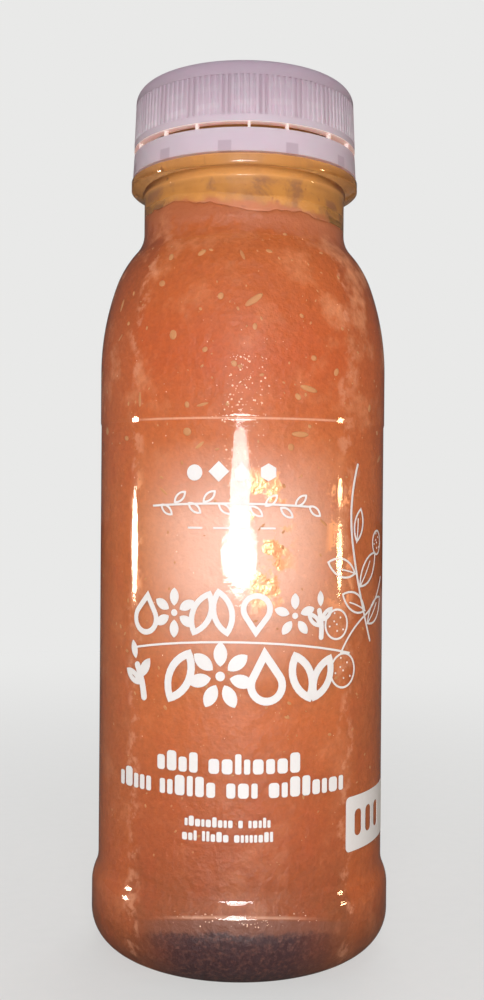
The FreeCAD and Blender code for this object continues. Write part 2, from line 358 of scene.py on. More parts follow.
paintedHeelPocket = {  # painted shade of air behind the front of the heel, under a sloping plane
    "foot": 2.45,    # height of the plane at the axis
    "slope": 0.378,  # its rise towards the front
    "full": 24.0,    # degrees from the front up to which it is clearest
    "gone": 58.0,
    # painted shade in the pocket
    "dark": "#3b2225",
    "flecks": "#8c5a4a",
    # painted lighter band along the pocket's top
    "paintedLightBand": "#7b4b38",
    # painted highlight along the pocket's wet rim
    "rim": "#e0b49a",
}


def buildJuice(material):
    sizes = bottleSizes
    inset = sizes["wall"] - contentSizes["intoWall"]
    lift = sizes["baseWall"] - contentSizes["intoWall"]
    apex = pushUp(sizes)[1]
    profile = Profile(0, apex + lift)
    walkFloor(profile, sizes, inset, lift)
    walkBody(profile, sizes, inset)
    neckEnd = profile.last.co.z
    taper = (sizes["neck"] - inset - sizes["bore"]) / sizes["boreTaper"]
    level = contentSizes["level"]
    for under in (sizes["firm"], 0):
        profile.line(sizes["neck"] - inset - taper * (level - under - neckEnd), level - under)
    profile.straight(0, level - 0.3, 6)
    bm = profile.turned(sizes["spinSteps"])
    top = (level - 1.0) * mm
    for vert in bm.verts:
        if vert.co.z > top and vert.co.xy.length > contentSizes["edgeFrom"] * mm:
            followWall(vert, taper, 1.0)
    return finishMesh(bm, "juiceBody", material)


def buildFroth(material):
    sizes = bottleSizes
    inset = sizes["wall"] - contentSizes["intoWall"]
    level = contentSizes["level"]
    neckEnd = shoulderFit(sizes)[1]
    taper = (sizes["neck"] - inset - sizes["bore"]) / sizes["boreTaper"]
    into = contentSizes["intoWall"]
    top = contentSizes["frothTop"]
    boreStart = neckEnd + sizes["boreTaper"]
    foot = contentSizes["frothFoot"]
    profile = Profile(0, level - foot - 0.1)
    outer = sizes["neck"] - inset - taper * (level - neckEnd) - contentSizes["frothGap"]
    profile.straight(outer, level - foot, 6)
    profile.line(outer - taper * foot, level + sizes["firm"])
    profile.straight(sizes["bore"] + into, boreStart, 6)
    profile.straight(sizes["bore"] + into, top, 8)
    profile.line(sizes["bore"] - contentSizes["frothLip"], top)
    film = sizes["bore"] - contentSizes["film"]
    bend = 3.0
    profile.line(film, level + contentSizes["frothFloor"] + bend)
    profile.bend(bend, -90, -90, 8)
    profile.line(0, level + contentSizes["frothFloor"])
    bm = profile.turned(sizes["spinSteps"])
    for vert in bm.verts:
        if vert.co.xy.length > contentSizes["frothSkin"] * mm:
            share = (boreStart - vert.co.z / mm) / (boreStart - level + foot)
            followWall(vert, taper, max(0.0, min(1.0, share)))
    return finishMesh(bm, "frothLayer", material)


def roundPlace(add):  # place, degrees from the front, height and depth in mm, sine of the turn
    place = add("TexCoord").outputs["Object"]
    axes = add("SeparateXYZ", None, (place,))
    toFront = add("Math", times, (axes.outputs["Y"], -1.0))
    turn = add("Math", {"operation": "ARCTAN2"}, (axes.outputs["X"], toFront))
    angle = add("Math", {"operation": "DEGREES"}, (turn,))
    height = add("Math", times, (axes.outputs["Z"], 1 / mm))
    depth = add("Math", times, (toFront, 1 / mm))
    swing = add("Math", {"operation": "SINE"}, (turn,))
    return place, angle, height, depth, swing


def awayFrom(add, value, spot):  # distance of a value from a spot
    return add("Math", absolute, (add("Math", minus, (value, spot)),))


def offMiddle(add, angle, count, shift):  # how far from the middle of its cell, of so many round
    cell = add("Math", timesPlus, (angle, count / 360, shift))
    return awayFrom(add, add("Math", fraction, (cell,)), 0.5)


def clearPet():
    # blow-moulded PET: clear, hard gloss, with the slight waves that blowing leaves in its skin
    made, add = newMaterial("clearBlowMouldedPET")
    place = add("TexCoord").outputs["Object"]
    waves = add("TexNoise", None, (place, perMetre(13), 1.5))
    dew = add("TexNoise", None, (place, perMetre(1.3), 2.0))
    bump = add("Bump", None, {"Strength": 0.4, "Distance": 0.09 * mm, "Height": waves})
    fine = add("Bump", None, {"Strength": 0.1, "Distance": 0.12 * mm, "Height": dew, "Normal": bump})
    smear = add("TexNoise", None, (place, perMetre(9), 4.0))
    gloss = add("MapRange", None, (smear, 0.35, 0.7, 0.03, 0.11))
    glass = add("BsdfPrincipled", None, {
        "Base Color": "#fbfaf8", "Roughness": gloss, "IOR": 1.57, "Transmission Weight": 1.0,
        "Normal": fine})
    through = add("BsdfTransparent", None, ("#f6f5f3",))
    path = add("LightPath")
    mix = add("MixShader", None, (path.outputs["Is Shadow Ray"], glass, through))
    add("OutputMaterial", None, (mix,))
    return made


def juiceMaterial():
    # pulpy juice pressed from whole fruit: opaque, redder where a thin film clings to the front wall,
    # with pale fibres adrift in it and a wet gloss where air lies between it and the wall; painted
    # shade low down and at the heel, a painted glow, a painted line of light and a painted golden sheen
    # are laid on its colour
    made, add = newMaterial("pulpyFruitJuice")
    place, angle, height, depth, swing = roundPlace(add)
    side = add("Math", absolute, (angle,))

    wobble = add("TexNoise", None, (place, perMetre(6), 3.0))
    edge = add("Math", timesPlus, (wobble, juiceLook["wobble"], side))
    film = add("MapRange", smooth, (edge, *juiceLook["film"], 1.0, 0.0))

    top = juiceLook["rampTop"]
    rise = add("MapRange", None, (height, 0.0, top))
    # side and front colours climb the bottle, painted darker low down as shade
    body, front = (add("ValToRGB", {"stops": [
        (level / top, hexColour(colour)) for level, colour in juiceColours[part]]}, (rise,))
        for part in ("side", "front"))
    base = add("Mix", rgba, (film, body, front))

    cloud = add("TexNoise", None, (place, perMetre(8), 4.0, 0.6))
    bySide = add("MapRange", None, (side, 12.0, 45.0))
    byTop = add("MapRange", None, (height, 85.0, 112.0))
    both = add("Math", times, (bySide, byTop))
    calm = add("MapRange", None, (both, 0.0, 1.0, 0.22, 0.9))  # clouds gather on the shoulder
    pale = add("MapRange", smooth, (cloud, 0.5, 0.72, 0.0, calm))
    clouded = add("Mix", rgba, (pale, base, juiceColours["pulp"]))
    deep = add("MapRange", smooth, (cloud, 0.5, 0.25, 0.0, 0.3))
    shaded = add("Mix", rgba, (deep, clouded, juiceColours["red"]))
    grain = add("TexNoise", None, (place, perMetre(0.9), 4.0, 0.7))
    speck = add("MapRange", None, (grain, 0.3, 0.7, 0.86, 1.14))
    mottled = add("Mix", {"data_type": "RGBA", "blend_type": "MULTIPLY"}, (1.0, shaded, speck))

    # painted glow of light in the middle, and pulp left along the edge of the film
    byHeight = add("ValToRGB", greys(juiceLook["hazeUp"]), (rise,))
    central = add("MapRange", smooth, (side, *juiceLook["paintedGlowAcross"], 0.0, 0.72))
    paintedGlowShare = add("Math", times, (central, byHeight))
    withPaintedGlow = add("Mix", rgba, (paintedGlowShare, mottled, juiceColours["haze"]))
    line = add("MapRange", smooth, (awayFrom(add, edge, juiceLook["shore"]), 4.5, 0.5))
    scraps = add("TexNoise", None, (place, perMetre(2.6), 4.0, 0.65))
    clinging = add("MapRange", smooth, (scraps, 0.48, 0.62, 0.0, 0.6))
    shore = add("Math", times, (line, clinging))
    shored = add("Mix", rgba, (shore, withPaintedGlow, juiceColours["shore"]))
    # a painted line of light along the panel's top edge
    awayEdge = awayFrom(add, height, bottleSizes["panelTop"] + 0.2)
    thread = add("MapRange", smooth, (awayEdge, 0.25, 0.08, 0.0, 0.4))
    paintedLineEnd = add("MapRange", smooth, (edge, 55.0, 40.0))
    threaded = add("Math", times, (thread, paintedLineEnd))
    edged = add("Mix", rgba, (threaded, shored, juiceColours["edge"]))
    # the top, where froth is stirred in
    sunk = add("Math", timesPlus, (swing, contentSizes["lean"], height))
    near = add("MapRange", None, (
        sunk, contentSizes["level"] - 9, contentSizes["level"] - 0.5, 0.0, 0.6))
    joined = add("Math", plus, (near, scraps))
    mixed = add("MapRange", smooth, (joined, 0.72, 0.98, 0.0, 0.9))
    topped = add("Mix", rgba, (mixed, edged, juiceColours["stirred"]))

    # the air pocket behind the heel: painted shade, with flecks left on the wall, a painted lighter
    # band near its top and a painted highlight along its wet rim
    plane = add("Math", timesPlus, (depth, paintedHeelPocket["slope"], paintedHeelPocket["foot"]))
    below = add("Math", minus, (plane, height))
    inside = add("MapRange", smooth, (below, 0.0, 0.6))
    fade = add("MapRange", smooth, (edge, paintedHeelPocket["full"], paintedHeelPocket["gone"], 1.0, 0.0))
    window = add("Math", times, (inside, fade))
    fleck = add("TexNoise", None, (place, perMetre(0.8), 5.0, 0.75))
    bright = add("MapRange", None, (fleck, 0.48, 0.75, 0.0, 0.65))
    dark = add("Mix", rgba, (bright, paintedHeelPocket["dark"], paintedHeelPocket["flecks"]))
    ragged = add("Math", timesPlus, (scraps, 3.0, below))
    paintedLightBand = add("MapRange", smooth, (ragged, 4.6, 3.4, 0.0, 0.85))
    lit = add("Mix", rgba, (paintedLightBand, dark, paintedHeelPocket["paintedLightBand"]))
    withPaintedPocketShade = add("Mix", rgba, (window, topped, lit))
    rimLine = add("MapRange", smooth, (below, -0.5, -0.05))
    rimEnd = add("MapRange", smooth, (below, 0.3, 0.0, 0.0, 0.4))
    rimOn = add("Math", times, (rimLine, rimEnd))
    sooner = add("Math", {"operation": "POWER"}, (fade, 5.0))
    rimShown = add("Math", times, (rimOn, sooner))
    withPaintedRim = add("Mix", rgba, (rimShown, withPaintedPocketShade, paintedHeelPocket["rim"]))

    # thin air behind the wall, crumpled and wet: real metallic gloss, with a painted golden sheen laid
    # only round the highlights
    halfTurn = add("MapRange", None, (angle, -90.0, 90.0))
    reach = add("ValToRGB", greys(juiceLook["foilAcross"]), (halfTurn,))
    apart = awayFrom(add, height, juiceLook["foilMiddle"])
    belt = add("MapRange", smooth, (apart, *juiceLook["foilHalf"]))
    zone = add("Math", times, (reach, belt))
    patch = add("TexNoise", None, (place, perMetre(4.5), 4.0, 0.6))
    airy = add("MapRange", smooth, (patch, 0.5, 0.57))
    glossAndPaintedSheen = add("Math", times, (zone, airy))
    withPaintedSheen = add("Mix", rgba, (glossAndPaintedSheen, withPaintedRim, juiceColours["glossAndPaintedSheen"]))
    metal = add("Math", times, (glossAndPaintedSheen, 0.6))
    rough = add("MapRange", None, (glossAndPaintedSheen, 0.0, 1.0, 0.5, 0.27))
    ripple = add("TexNoise", None, (place, perMetre(2.4), 3.0, 0.6))
    bump = add("Bump", None, {"Strength": 0.8, "Distance": 0.5 * mm, "Height": ripple})
    skin = add("BsdfPrincipled", None, {
        "Base Color": withPaintedSheen, "Roughness": rough, "IOR": 1.5, "Metallic": metal, "Normal": bump})
    add("OutputMaterial", None, (skin,))
    return made


frothLook = {
    "deep": "#9b632e",
    "light": "#c68c44",
    "bare": "#85593f",  # where the film on the bore is thin
    # painted light on the froth behind the thick ring
    "glow": "#dc9c55",
    "paintedLightFrom": 137.3,  # froth above this height is painted lighter, as light gathered by the thick ring
    "paintedLightFull": 138.6,
    "grit": "#7a4630",
}


def frothMaterial():
    # froth and settled pulp: yellower than the juice, thin and greyish in places, with dark specks
    made, add = newMaterial("yellowPulpFroth")
    place, _, height, _, swing = roundPlace(add)
    drift = add("TexNoise", None, (place, perMetre(5), 4.0, 0.6))
    base = add("Mix", rgba, (drift, frothLook["deep"], frothLook["light"]))
    thin = add("TexNoise", None, (place, perMetre(6), 5.0, 0.65, 2.0, 0.5))
    bare = add("MapRange", smooth, (thin, 0.46, 0.6, 0.0, 0.75))
    patchy = add("Mix", rgba, (bare, base, frothLook["bare"]))
    # brown-red flecks where it meets the juice
    sunk = add("Math", timesPlus, (swing, contentSizes["lean"], height))
    near = add("MapRange", None, (
        sunk, contentSizes["level"] + 3.0, contentSizes["level"] - 0.5, 0.0, 0.72))
    stirred = add("TexNoise", None, (place, perMetre(2.6), 5.0, 0.7))
    joined = add("Math", plus, (near, stirred))
    mixed = add("MapRange", smooth, (joined, 0.8, 1.0, 0.0, 0.9))
    flecked = add("Mix", rgba, (mixed, patchy, juiceColours["stirred"]))
    # painted light: the froth behind the thick ring drawn lighter
    raised = add("MapRange", smooth, (height, frothLook["paintedLightFrom"], frothLook["paintedLightFull"], 0.0, 0.65))
    withPaintedLight = add("Mix", rgba, (raised, flecked, frothLook["glow"]))
    grit = add("TexNoise", None, (place, perMetre(1.3), 3.0))
    speck = add("MapRange", None, (grit, 0.66, 0.74, 0.0, 0.7))
    specked = add("Mix", rgba, (speck, withPaintedLight, frothLook["grit"]))
    bump = add("Bump", None, {"Strength": 0.5, "Distance": 0.3 * mm, "Height": drift})
    skin = add("BsdfPrincipled", None, {"Base Color": specked, "Roughness": 0.45, "Normal": bump})
    add("OutputMaterial", None, (skin,))
    return made


def pulpMaterial():
    # torn fruit cells: pale yellow, soft edges, a little see-through
    made, add = newMaterial("paleFruitPulp")
    place = add("TexCoord").outputs["Object"]
    tone = add("TexNoise", None, (place, perMetre(4), 3.0))
    base = add("Mix", rgba, (tone, *juiceColours["bits"]))
    skin = add("BsdfPrincipled", None, {"Base Color": base, "Roughness": 0.5})
    add("OutputMaterial", None, (skin,))
    return made


capLook = {  # heights in mm
    "milk": ("#d3bfcb", "#dac8d3"),
    # painted shade of the vents seen through the skirt
    "bar": "#bca2ae",
    "thread": "#e3d6dc",
    # painted shade of the flap gaps seen through the band
    "gap": "#b098a6",
    "free": "#5a545a",        # screened over the lip and the band
    # painted shade on the crown
    "crown": "#b09cab",
    # painted highlight on the bridges
    "paintedBridgeHighlight": "#fffafc",
    # colour of a painted glow in the slit
    "glow": "#f0a080",
    "shadow": "#f3dfe6",      # what its thin wall lets through
    "vents": 20,              # vents round the skirt, seen through it as darker bars of painted shade
    "barAcross": ((0.0, 0.12), (0.02, 0.12), (0.05, 0.6), (0.1, 0.6), (0.14, 0)),
    "barFoot": 147.6,
    "barTop": 154.2,
    "lead": 9.0,              # rise of one thread in a full turn
    "starts": 3,
    "slitFoot": 145.28,
    "slitTop": 146.3,
    # strength of the painted glow in the slit
    "paintedSlitGlow": 0.27,
    "flaps": 11,              # gaps between the band's flaps
    "gapTurn": 9.5,           # degrees that the first gap stands to the left of the front
    "gapTop": 143.0,
    "lipTop": 147.5,
    "paintedCrownShadeFrom": 148.5,
    "paintedCrownShadeTo": 156.4,
    "disc": (157.45, 157.1),  # flat top, paler again
}


def capMaterial():
    # injection-moulded natural HDPE: milky and satin, thin walls let what is behind show through,
    # painted in as shade; the crown is painted darker as shade, the bridges carry a painted highlight
    # and the slit a painted glow
    made, add = newMaterial("naturalMouldedHDPE")
    place, angle, height, _, _ = roundPlace(add)
    # painted shade of the vents behind the skirt
    off = offMiddle(add, angle, capLook["vents"], 100.0)
    bars = add("ValToRGB", greys(capLook["barAcross"]), (off,))
    foot = add("MapRange", smooth, (height, capLook["barFoot"] - 0.5, capLook["barFoot"] + 0.5))
    top = add("MapRange", smooth, (height, capLook["barTop"] + 0.7, capLook["barTop"] - 0.7))
    tall = add("Math", times, (foot, top))
    bar = add("Math", times, (bars, tall))
    fade = add("TexNoise", None, (place, perMetre(7), 2.0))
    base = add("Mix", rgba, (fade, *capLook["milk"]))
    barred = add("Mix", rgba, (bar, base, capLook["bar"]))
    # the threads inside: thicker plastic between the vents, so paler
    climb = add("Math", timesPlus, (angle, -capLook["lead"] / 360, height))
    turns = add("Math", times, (climb, capLook["starts"] / capLook["lead"]))
    along = add("Math", fraction, (turns,))
    ridge = add("MapRange", smooth, (along, 0.6, 0.75))
    between = add("MapRange", smooth, (off, 0.16, 0.22, 0.0, 0.32))
    inSkirt = add("Math", times, (ridge, between))
    shown = add("Math", times, (inSkirt, tall))
    threaded = add("Mix", rgba, (shown, barred, capLook["thread"]))
    # gaps between the flaps of the tamper band, seen through it as painted shade
    flaps = capLook["flaps"]
    flapOff = offMiddle(add, angle, flaps, 100.5 + capLook["gapTurn"] * flaps / 360)
    gap = add("MapRange", smooth, (flapOff, 0.11, 0.085, 0.0, 0.55))
    low = add("MapRange", smooth, (height, capLook["gapTop"] + 0.15, capLook["gapTop"] - 0.15))
    gapShown = add("Math", times, (gap, low))
    banded = add("Mix", rgba, (gapShown, threaded, capLook["gap"]))
    # lip and band stand free of what is inside, so they are painted paler, without its shade
    free = add("MapRange", smooth, (height, capLook["lipTop"], capLook["lipTop"] - 0.5, 0.0, 0.7))
    paler = add("Mix", {"data_type": "RGBA", "blend_type": "SCREEN"}, (
        free, banded, capLook["free"]))
    # the crown is painted a little deeper in tone, as shade on the top
    crown = add("MapRange", None, (height, capLook["paintedCrownShadeFrom"], capLook["paintedCrownShadeTo"], 0.0, 0.86))
    disc = add("MapRange", smooth, (height, *capLook["disc"]))
    edged = add("Math", times, (crown, disc))
    topped = add("Mix", rgba, (edged, paler, capLook["crown"]))
    # the thin bridges carry a painted highlight
    overBand = add("Math", {"operation": "GREATER_THAN"}, (height, capLook["slitFoot"]))
    underSkirt = add("Math", {"operation": "LESS_THAN"}, (height, capLook["slitTop"]))
    inSlit = add("Math", times, (overBand, underSkirt))
    withPaintedBridges = add("Mix", rgba, (inSlit, topped, capLook["paintedBridgeHighlight"]))
    grain = add("TexNoise", None, (place, perMetre(0.6), 3.0))
    bump = add("Bump", None, {"Strength": 0.15, "Distance": 0.05 * mm, "Height": grain})
    # a painted glow inside the slit, given as emission
    paintedSlitGlowStrength = add("Math", times, (inSlit, capLook["paintedSlitGlow"]))
    skin = add("BsdfPrincipled", None, {
        "Base Color": withPaintedBridges, "Roughness": 0.5, "IOR": 1.54, "Normal": bump,
        "Emission Color": capLook["glow"], "Emission Strength": paintedSlitGlowStrength, "Subsurface Weight": 0.75,
        "Subsurface Radius": (0.0021, 0.0015, 0.0017), "Subsurface Scale": 1.0})
    through = add("BsdfTransparent", None, (capLook["shadow"],))
    path = add("LightPath")
    share = add("Math", times, (path.outputs["Is Shadow Ray"], 0.45))
    mix = add("MixShader", None, (share, skin, through))
    add("OutputMaterial", None, (mix,))
    return made


inkTones = ("#fbf3f0", "#fffcfa")


def inkMaterial():
    # screen-printed opaque white ink: dense, a little chalky, slightly raised from the wall
    made, add = newMaterial("screenPrintedWhiteInk")
    place = add("TexCoord").outputs["Object"]
    weave = add("TexNoise", None, (place, perMetre(0.5), 3.0))
    base = add("Mix", rgba, (weave, *inkTones))
    bump = add("Bump", None, {"Strength": 0.2, "Distance": 0.02 * mm, "Height": weave})
    skin = add("BsdfPrincipled", None, {"Base Color": base, "Roughness": 0.45, "Normal": bump})
    add("OutputMaterial", None, (skin,))
    return made


printSizes = {
    "proud": 0.03,    # ink above the wall
    "thickness": 0.06,
    "slice": 1.0,     # width of the strips that follow the wall's curve
    "boldOne": 0.95,  # stroke of the upper bold row
    "boldTwo": 1.3,   # stroke of the lower bold row
    "fine": 0.36,
    "seed": 11,
}
upright = Matrix.Rotation(math.pi / 2, 4, "X")  # flat shapes stand in the XZ plane


def flatCircle(radius, steps=28):
    bm = bmesh.new()
    bmesh.ops.create_circle(bm, cap_ends=True, segments=steps, radius=radius, matrix=upright)
    return bm


def flatBar(width, height, corner):
    bm = bmesh.new()
    bmesh.ops.create_grid(bm, x_segments=1, y_segments=1, size=0.5, matrix=upright)
    bmesh.ops.scale(bm, verts=bm.verts, vec=(width, 1, height))
    bmesh.ops.bevel(bm, geom=list(bm.verts), offset=corner, affect="VERTICES", segments=4,
                    profile=0.5, material=-1)
    return bm


def flatLeaf(length, width):  # two arcs that meet at both tips, its foot at the origin
    half = length / 2
    radius = (half ** 2 + (width / 2) ** 2) / width
    turn = 2 * math.degrees(math.asin(half / radius))
    walk = Profile(0, 0)
    walk.bend(radius, 90 - turn / 2, turn, 10)
    walk.bend(radius, 270 - turn / 2, turn, 10)
    return walk.filled()


def flatDrop(length, width):  # round below, pointed above
    radius = width / 2
    reach = length - radius
    lean = math.asin(radius / reach)
    walk = Profile(0, length)
    walk.line(radius * math.cos(lean), radius + radius * math.sin(lean))
    walk.bend(radius, math.degrees(lean) - 90, -(180 + 2 * math.degrees(lean)), 20)
    return walk.filled()


def flatStroke(width, heading, arcs):  # pen stroke; each arc is a radius and a turn, or a length and 0
    half = width / 2
    side = math.radians(heading - 90)
    walk = Profile(half * math.cos(side), half * math.sin(side))
    for sign, route in ((1, arcs), (-1, arcs[::-1])):
        for size, turn in route:
            if turn == 0:
                walk.ahead(size, heading)
            else:
                walk.bend(size + sign * math.copysign(half, turn), heading, sign * turn, 12)
            heading += sign * turn
        walk.bend(half, heading, 180, 6)
        heading += 180
    return walk.filled()


def hollow(bm, width):  # leaves the outline of a flat shape
    faces = list(bm.faces)
    bmesh.ops.inset_region(bm, faces=faces, thickness=width, use_even_offset=True, use_boundary=True)
    bmesh.ops.delete(bm, geom=faces, context="FACES")
    return bm


def stamp(sheet, shape, across, height, tilt=0.0):  # lays a flat shape on the flat print
    bmesh.ops.rotate(shape, verts=shape.verts, cent=(0, 0, 0),
                     matrix=Matrix.Rotation(math.radians(tilt), 3, "Y"))
    bmesh.ops.translate(shape, verts=shape.verts, vec=(across, 0, height))
    mesh = bpy.data.meshes.new("flatShape")
    shape.to_mesh(mesh)
    shape.free()
    sheet.from_mesh(mesh)
    bpy.data.meshes.remove(mesh)


def wrapPrint(sheet, name, material):  # cuts the flat print into strips and lays it round the panel
    bmesh.ops.triangulate(sheet, faces=sheet.faces)
    places = [vert.co.x for vert in sheet.verts]
    cut = math.ceil(min(places))
    while cut < max(places):
        bmesh.ops.bisect_plane(sheet, geom=list(sheet.verts) + list(sheet.edges) + list(sheet.faces),
                               plane_co=(cut, 0, 0), plane_no=(1, 0, 0), dist=1e-4)
        cut += printSizes["slice"]
    bmesh.ops.recalc_face_normals(sheet, faces=sheet.faces)
    bmesh.ops.reverse_faces(sheet, faces=[face for face in sheet.faces if face.normal.y > 0])
    radius = bottleSizes["panel"] + printSizes["proud"]
    for vert in sheet.verts:
        angle = vert.co.x / bottleSizes["panel"]
        vert.co = (radius * math.sin(angle), -radius * math.cos(angle), vert.co.z)
    sheet.normal_update()
    bmesh.ops.solidify(sheet, geom=list(sheet.faces), thickness=printSizes["thickness"])
    bmesh.ops.scale(sheet, verts=sheet.verts, vec=(mm, mm, mm))
    return finishMesh(sheet, name, material, rounded=False)


def stampSprout(sheet, across, foot, tall, stroke, tilt):
    stamp(sheet, flatStroke(stroke, 90, [(tall * 1.6, 22)]), across, foot, tilt)
    for turn, lift, share in ((-52, 0.32, 0.5), (40, 0.5, 0.46), (-8, 0.98, 0.36)):
        along = across + tall * lift * (math.sin(math.radians(tilt)) - 0.12)
        stamp(sheet, hollow(flatLeaf(tall * share, tall * share * 0.46), stroke * 0.72),
              along, foot + tall * lift * 0.72, tilt + turn)


def stampBlossom(sheet, across, middle, size, petals):
    for number in range(petals):
        turn = 360 / petals * number
        way = math.radians(turn)
        stamp(sheet, flatLeaf(size * 0.36, size * 0.2), across + size * 0.14 * math.sin(way),
              middle + size * 0.14 * math.cos(way), turn)
    stamp(sheet, flatCircle(size * 0.07), across, middle)


def stampWords(sheet, middle, height, lengths, tall, draw):  # a row of small rounded blocks
    blocks = [[tall * draw.choice((0.42, 0.6, 0.72)) for _ in range(count)] for count in lengths]
    gap, space = tall * 0.17, tall * 0.75
    total = sum(sum(word) + gap * (len(word) - 1) for word in blocks) + space * (len(blocks) - 1)
    across = middle - total / 2
    for word in blocks:
        for width in word:
            raised = draw.random() < 0.3
            block = tall * (1.35 if raised else 1.0)
            stamp(sheet, flatBar(width, block, min(width, tall) * 0.32), across + width / 2,
                  height + block / 2)
            across += width + gap
        across += space - gap


def buildPrint(material):
    draw = random.Random(printSizes["seed"])
    sheet = bmesh.new()
    # small marks in a row: disc, lozenge, drop, hexagon
    stamp(sheet, flatCircle(1.35), -8.05, 86.2)
    stamp(sheet, flatCircle(1.75, 4), -3.9, 86.4)
    stamp(sheet, flatDrop(3.6, 2.4), -0.1, 84.7)
    stamp(sheet, flatCircle(1.5, 6), 4.4, 86.3)
    # garland in thin line, with short dashes below
    stamp(sheet, flatStroke(printSizes["fine"], 4, [(200, -8)]), -15.9, 80.6)
    for number in range(11):
        across = -14.4 + 2.6 * number
        height = 80.9 + 0.35 * math.sin(number * 0.6)
        stamp(sheet, hollow(flatLeaf(3.0, 1.5), 0.34), across, height, 48 if number % 2 else 128)
    for across, long in ((-7.9, 2.6), (-3.5, 2.6), (0.4, 2.2), (4.4, 2.6)):
        stamp(sheet, flatBar(long, 0.34, 0.15), across, 77.0)
    # upper bold row
    one = printSizes["boldOne"]
    stamp(sheet, hollow(flatDrop(7.6, 5.6), one), -17.8, 58.6, 6)
    stampBlossom(sheet, -11.6, 62.7, 8.4, 6)
    stamp(sheet, hollow(flatLeaf(8.2, 4.0), one), -8.2, 59.0, 22)
    stamp(sheet, hollow(flatLeaf(8.2, 4.0), one), -2.2, 59.0, -12)
    stamp(sheet, hollow(flatDrop(7.4, 5.4), one), 2.7, 66.3, 182)
    stampBlossom(sheet, 9.2, 62.4, 7.6, 5)
    stampSprout(sheet, 14.2, 58.6, 7.4, one, 6)
    # long thin arch between the rows
    stamp(sheet, flatStroke(printSizes["fine"], 11.5, [(95, -25)]), -20.4, 56.2)
    # lower bold row
    two = printSizes["boldTwo"]
    stampSprout(sheet, -17.8, 48.0, 9.0, two, -6)
    stamp(sheet, hollow(flatLeaf(10.0, 5.0), two), -12.6, 47.6, 24)
    stampBlossom(sheet, -3.4, 52.4, 11.5, 7)
    stamp(sheet, hollow(flatDrop(9.8, 6.6), two), 4.6, 47.6, -4)
    stamp(sheet, hollow(flatLeaf(9.2, 4.6), two), 12.2, 47.8, -20)
    stamp(sheet, hollow(flatLeaf(8.6, 4.2), two), 12.6, 47.9, 26)
    # two lines of blocks, two finer ones below
    stampWords(sheet, -2.2, 36.2, (4, 8), 2.5, draw)
    stampWords(sheet, -2.2, 32.2, (5, 6, 3, 8), 2.5, draw)
    stampWords(sheet, -2.1, 27.3, (9, 1, 5), 1.25, draw)
    stampWords(sheet, -2.1, 24.9, (3, 5, 8), 1.25, draw)
    return wrapPrint(sheet, "frontPrint", material)


def buildSprig(material):  # fruit twig in thin line on the right of the panel
    sheet = bmesh.new()
    thin = printSizes["fine"]
    stamp(sheet, flatStroke(thin * 1.3, 118, [(60, -18), (24, -32)]), 27.5, 57.0)
    for across, foot, length, tilt in (
            (26.3, 60.0, 8.2, 58), (25.6, 62.4, 7.6, -64), (23.6, 66.6, 8.6, 46),
            (22.4, 69.0, 7.4, -72), (22.6, 74.4, 6.2, 12)):  # leaves
        stamp(sheet, hollow(flatLeaf(length, length * 0.46), thin), across, foot, tilt)
        stamp(sheet, flatStroke(thin * 0.7, 90, [(length * 3.2, 12)]), across, foot, tilt)
    for across, middle, size in ((30.6, 74.2, 2.3), (17.6, 60.6, 2.7), (19.2, 52.6, 3.1)):  # berries
        stamp(sheet, hollow(flatCircle(size, 32), thin), across, middle)
        for number in range(7):
            way = number * 2.4
            stamp(sheet, flatCircle(0.18, 8), across + size * 0.3 * math.sqrt(number) * math.cos(way),
                  middle + size * 0.3 * math.sqrt(number) * math.sin(way))
    stamp(sheet, flatStroke(thin, 60, [(14, -38), (20, 30)]), 18.6, 55.6)
    return wrapPrint(sheet, "sprigPrint", material)


labelSizes = {
    "from": 44.0,   # degrees from the front
    "to": 88.0,
    "foot": 21.0,
    "top": 30.5,
    "slots": 3,
    "slotWidth": 2.1,
    "slotGap": 1.5,
    "slotHeight": 4.6,
    "margin": 2.4,  # before the first slot
    "corner": 0.9,
}


def buildLabel(material):  # white field with three plain rounded slots
    sizes = labelSizes
    perDegree = math.radians(bottleSizes["panel"])
    left, right = sizes["from"] * perDegree, sizes["to"] * perDegree
    middle = (sizes["foot"] + sizes["top"]) / 2
    columns = [left]
    start = left + sizes["margin"]
    for number in range(sizes["slots"]):
        columns += [start, start + sizes["slotWidth"]]
        start += sizes["slotWidth"] + sizes["slotGap"]
    columns.append(right)
    half = sizes["slotHeight"] / 2
    rows = [sizes["foot"], middle - half, middle + half, sizes["top"]]
    sheet = bmesh.new()
    bmesh.ops.create_grid(sheet, x_segments=len(columns) - 1, y_segments=3, size=1, matrix=upright)
    for vert in sheet.verts:
        column = round((vert.co.x + 1) / 2 * (len(columns) - 1))
        row = round((vert.co.z + 1) / 2 * 3)
        vert.co = (columns[column], 0, rows[row])
    inSlot = [face for face in sheet.faces
              if abs(face.calc_center_median().z - middle) < 0.1
              and any(abs(face.calc_center_median().x - (a + b) / 2) < 0.01
                      for a, b in zip(columns[1::2], columns[2::2]))]
    bmesh.ops.delete(sheet, geom=inSlot, context="FACES")
    corners = [vert for vert in sheet.verts if len(vert.link_faces) in (1, 3)]
    bmesh.ops.bevel(sheet, geom=corners, offset=sizes["corner"], affect="VERTICES", segments=4,
                    profile=0.5, material=-1)
    return wrapPrint(sheet, "labelPrint", material)


pulpGroups = {  # count, middle and spread in degrees, heights, lengths, share across
    "bits": (420, 0, 180, 20, 127, 0.25, 0.9, 0.6),
    "threads": (16, 0, 120, 60, 127, 1.6, 3.4, 0.26),
    "blobs": (30, 0, 110, 88, 128, 0.7, 1.8, 0.75),
    "sliver": (1, 4, 0, 115, 115, 3.8, 3.8, 0.26),
}

